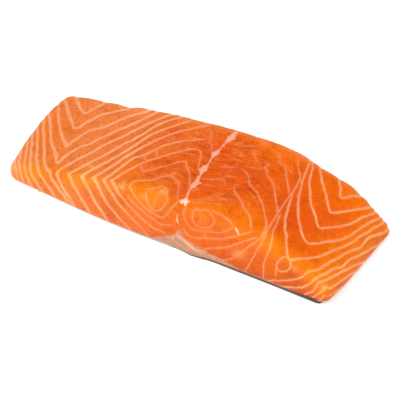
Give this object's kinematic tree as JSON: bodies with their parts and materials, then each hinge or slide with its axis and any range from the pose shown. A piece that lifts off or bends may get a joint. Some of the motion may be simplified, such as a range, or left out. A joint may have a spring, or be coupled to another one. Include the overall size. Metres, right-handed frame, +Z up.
{
  "type": "raw salmon fillet",
  "caption": "Raw salmon fillet portion lying skin side down, thin at the belly end and thick at the loin end, with pale fat lines in orange flesh.",
  "frame": {"origin": "middle of the footprint, on the surface that the portion lies on", "axes": "+X from the thin belly end to the thick loin end, +Y along the fish from the front cut face to the back one, +Z up"},
  "size_m": [0.1766, 0.0608, 0.031],
  "materials": {
    "flesh": "moist orange flesh with pale fat lines, softly glossy",
    "skin": "wet scaled skin, dark blue-grey at the loin end to silver at the belly end"
  },
  "bodies": {
    "root": {"flesh": "flesh", "skin": "skin"}
  },
  "joints": []
}
